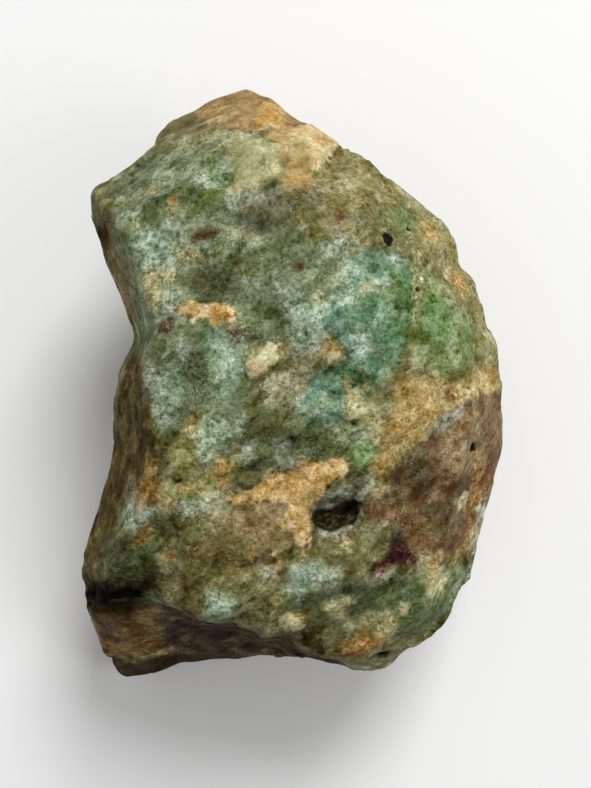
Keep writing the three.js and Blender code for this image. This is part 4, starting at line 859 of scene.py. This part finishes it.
# Tints that drift through all the green: sap green, a pale bloom, a golden film
# and brown earth. The dark places keep clear of them.
veil = tree.node("ShaderNodeRGBToBW", None, {0: tint}).step(0.0, 0.09)
tint = mixed(other.step(0.0, 0.3) * veil * 0.25, tint, colour("5c8048"))
tint = mixed(third.step(0.0, 0.3) * veil * 0.2, tint, colour("a2b29e"))
tint = mixed((other * 0.6 - third).step(0.02, 0.26) * veil * 0.2, tint, colour("968448"))
tint = mixed((third * 0.5 - other).step(0.06, 0.3) * 0.2, tint, colour("3c3216"))


def hairline(swell):
    """A thin line where a cloud crosses its middle height."""
    return 1 - tree.math("ABSOLUTE", swell).step(0.0, 0.012)


# Hairlines of gold and of brown earth, where the crystals meet.
gold = hairline(other - 0.03) * (middle + small * 0.5).step(0.0, 0.1)
tint = mixed(gold * veil * 0.25, tint, colour("a88a48"))
seam = hairline(third + middle * 0.3) * (broad + small * 0.6).step(0.0, 0.1)
tint = mixed(seam * 0.4, tint, colour("2a200c"))

# Crisp minerals: the edge's half width and how far it strays, and the colours
# from dark to light. The crumbling and bladed ones are rubble, the others cloudy.
MINERALS = (
    ("cap", 0.4, 0.5, "64542e 7c663c 987e50 b0966a c4ae84"),
    ("tail", 0.6, 0.6, "40381a 5c5230 706a48 948c6a b0aa90"),
    ("honey", 0.4, 0.4, "74542a 9c763c b69252 ceae76 e2c492"),
    ("lobe", 1.3, 0.9, "6e764a 90925f a8a67a bcb68c dcd8b8"),
    ("knob", 0.3, 0.3, "8e7040 ab8c5a c6ac7c d8c092 ecdab8"),
    ("slate", 0.4, 0.6, "443c2a 62624a 84866e a8ac96 d0d4c4"),
    ("sliver", 0.4, 0.8, "6c6244 8c8060 a09c7c bcbaa8 d6d6c8"),
    ("facet", 0.35, 0.4, "464428 686a4a 888464 aaa686 dcdcbc"),
    ("nodule", 0.25, 0.3, "a09c5c c2c086 dadab6 e8ead0 f4f6e2"),
    ("vein", 0.45, 1.0, "9a7844 c2a064 e0c28c eed6a6 f8ecd2"),
    ("sugar", 0.5, 0.8, "2c2010 54452a 7a6844 a6926c d6c6a6"),
    ("garnet", 0.4, 0.7, "160604 2a120c 40241c 5c3c30 80645a"),
)
BROKEN = ("vein", "sugar", "garnet", "facet", "slate")
for mineral, soft, ragged, codes in MINERALS:
    mottle = rubble if mineral in BROKEN else cloud
    tint = mixed(shows(mineral, soft, ragged), tint, ramp(mottle, codes))

# The spots come over them, each kind with a strength too, and the cave, an open
# hole in the vein, comes last.
SPECKS = (
    ("dark", 0.8, 0.8, 0.55, "201c0e 363420 50523a 6c7054"),
    ("pale", 1.0, 0.9, 0.55, "86967e a4b29c bcc8b4 dae0d0"),
    ("cream", 0.7, 0.7, 0.65, "9a925e b6ac7c ccc292 e0d8b4"),
    ("ochre", 0.7, 0.8, 0.55, "7a5826 a08046 bc9a5c d8bc88"),
    ("orange", 0.7, 0.8, 0.5, "6a400c 96682a c08c44 dcb274"),
    ("rust", 0.5, 0.7, 0.8, "200a04 401c0a 62341a 8c5c3a"),
    # The pits and the cave are painted near black on top of their carved depth: painted shade
    # inside the holes.
    ("pit", 0.25, 0.3, 0.97, "020201 0a0805 181109 2c2216"),
    ("cave", 0.35, 0.3, 0.97, "0a0703 1c180e 34301f 4e4836"),
)
for mineral, soft, ragged, strength, codes in SPECKS:
    tint = mixed(shows(mineral, soft, ragged) * strength, tint, ramp(fine_cloud, codes))

# The grain is in light and dark alone: fine crystals, bright fibres and glints
# that are painted highlights where they would catch the light, and dark specks
# in the pores. It is calmer on the weathered parts and the vein. Part of it is a
# grey light laid on the colour.
smoother = shows("weathered", 0.5, 0.3) * 0.45 + shows("vein", 0.4, 0.5) * 0.4
fibres = streak.step(0.02, 0.2) + upright.step(0.04, 0.22) * other.step(-0.06, 0.06)
# The brightest grains are painted glints in the colour; they also raise the gloss below.
glints = grain.step(0.03, 0.26)
light = small * 1.8 + crystals * 0.42 + grain * 0.6 + middle * 0.4 + plate * 0.2
light = light + blocks * 0.3 + fibres * 0.12 + glints * 0.24
light = (light - 0.08) * (1 - smoother)
grey = tree.node("ShaderNodeRGBToBW", None, {0: tint})
tint = tint.scaled(0.98 + light * 0.6).moved(light * 0.4 * grey)
BLACKEST = (0.0015, 0.001, 0.0005)
tint = tree.node("ShaderNodeVectorMath", {"operation": "MAXIMUM"}, {0: tint, 1: BLACKEST})
hollows = shows("pit", 0.4, 0.3) + shows("cave", 0.6, 0.3) + shows("crease", 0.8, 0.3)
dull = tree.math("MINIMUM", hollows, 1.0)
# Painted glints: near-white specks laid on the colour, kept out of the pits, the cave and the
# crease. They also raise the gloss below.
flash = place.noise(0.27, 1.0).step(0.64, 0.74) * (broad + other * 0.8).step(0.0, 0.14) * (1 - dull)
tint = mixed(flash * 0.5, tint, colour("d8d6b8"))
# Dark specks in the pores, sunk a little in the bump.
dark_pore_specks = bent.noise(0.42, 1.0).step(0.68, 0.78) * (third + broad * 0.6).step(-0.02, 0.12)
tint = mixed(dark_pore_specks * 0.45, tint, colour("201808"))

# Fine grain too small to carve is a bump, in mm. The quartz and the worn flank
# are smoother, and the vein is crumbly.
glassy = shows("quartz", 0.4, 0.6)
earthy = shows("vein", 0.4, 0.8)
worn = shows("flank", 1.0, 0.5)
height = small * 0.15 + grain * 0.05 + middle * 0.2 + streak * 0.05
height = height * (1 - 0.25 * glassy) * (1 - 0.4 * worn) * (1 - 0.8 * dull)
height = height + earthy * small * 0.12 - dark_pore_specks * 0.04 - seam * 0.1
bump = {"Strength": 1.0, "Distance": MM, "Height": height}
bumped = tree.node("ShaderNodeBump", None, bump, "Normal")
rough = 0.6 + small * 0.3 + earthy * 0.2 + worn * 0.2 + dull * 0.3
# The wet-looking lustre is a thin gloss on the crown, strongest on the glints.
shine = 0.1 + glints * 0.25 + flash * 0.4 + glassy * 0.1
gloss = part("crown side") * shine * (1 - earthy * 0.7) * (1 - dull)
surface = tree.node(
    "ShaderNodeBsdfPrincipled",
    None,
    {"Base Color": tint, "Roughness": rough, "Normal": bumped, "IOR": 1.53,
     "Specular IOR Level": 0.03, "Coat Weight": gloss, "Coat Roughness": 0.28, "Coat IOR": 1.5},
)
final = stone.node_tree.nodes.new("ShaderNodeOutputMaterial")
stone.node_tree.links.new(surface.socket, final.inputs["Surface"])

# The relief is carved, with its heights and depths in mm.
sizes = {"Chip height": 0.7, "Ledge height": 0.5, "Grain height": 0.25, "Crumb height": 0.4,
         "Pit depth": 0.9, "Stone": stone}
carved = lump.modifiers.new("relief", "NODES")
carved.node_group = relief
for item in relief.interface.items_tree:
    if item.in_out == "INPUT" and item.name in sizes:
        carved[item.identifier] = sizes[item.name]
bake_modifiers(lump)
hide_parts("amazonite")
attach(lump, "root")

# --------------------------------------------------------------- the table --
# A plain white sheet of matt board, 4 m wide, which only catches a shadow. It
# lies a hair below the stone's back, so that the two faces never flicker.
HALF_TABLE = 2.0
HAIR = 0.1 * MM
sheet = bpy.data.meshes.new("table")
turns = ((-1, -1), (1, -1), (1, 1), (-1, 1))
sheet.from_pydata([(x * HALF_TABLE, y * HALF_TABLE, -HAIR) for x, y in turns], [], [(0, 1, 2, 3)])
table = bpy.data.objects.new("table", sheet)
bpy.context.scene.collection.objects.link(table)
board = bpy.data.materials.new("board")
board.use_nodes = True
matt = board.node_tree.nodes["Principled BSDF"]
matt.inputs["Base Color"].default_value = (0.93, 0.93, 0.93, 1)
matt.inputs["Roughness"].default_value = 0.9
sheet.materials.append(board)

# -------------------------------------------------------------- the lights --
# A pale room, one broad soft box above the cap end, and a weak fill. Each lamp
# has its place and size in m and its power in W, and looks at the stone's middle.
ROOM_STRENGTH = 0.39
STONE_MIDDLE = Vector((0, 0, 0.02))
room = bpy.data.worlds.new("room")
bpy.context.scene.world = room
room.use_nodes = True
room.node_tree.nodes["Background"].inputs["Color"].default_value = (1, 1, 1, 1)
room.node_tree.nodes["Background"].inputs["Strength"].default_value = ROOM_STRENGTH
for name, stands_at, size, power in (
    ("key", (0.34, 0.86, 0.98), 0.55, 13.5),
    ("fill", (0.95, -0.2, 0.9), 0.60, 2.2),
):
    lamp = bpy.data.lights.new(name, "AREA")
    lamp.size, lamp.energy = size, power
    holder = bpy.data.objects.new(name, lamp)
    bpy.context.scene.collection.objects.link(holder)
    holder.location = stands_at
    holder.rotation_euler = (STONE_MIDDLE - Vector(stands_at)).to_track_quat("-Z", "Y").to_euler()

# -------------------------------------------------------------- the camera --
# It stands 0.24 m above the table and looks straight down on the crown through
# a 60 mm lens, with the cap end up.
lens = bpy.data.cameras.new("camera")
lens.lens, lens.sensor_width, lens.clip_start = 60, 36, 0.01
camera = bpy.data.objects.new("camera", lens)
camera.location = (0.00044, 0.00022, 0.237)
bpy.context.scene.collection.objects.link(camera)
bpy.context.scene.camera = camera
bpy.context.scene.view_settings.view_transform = "Standard"
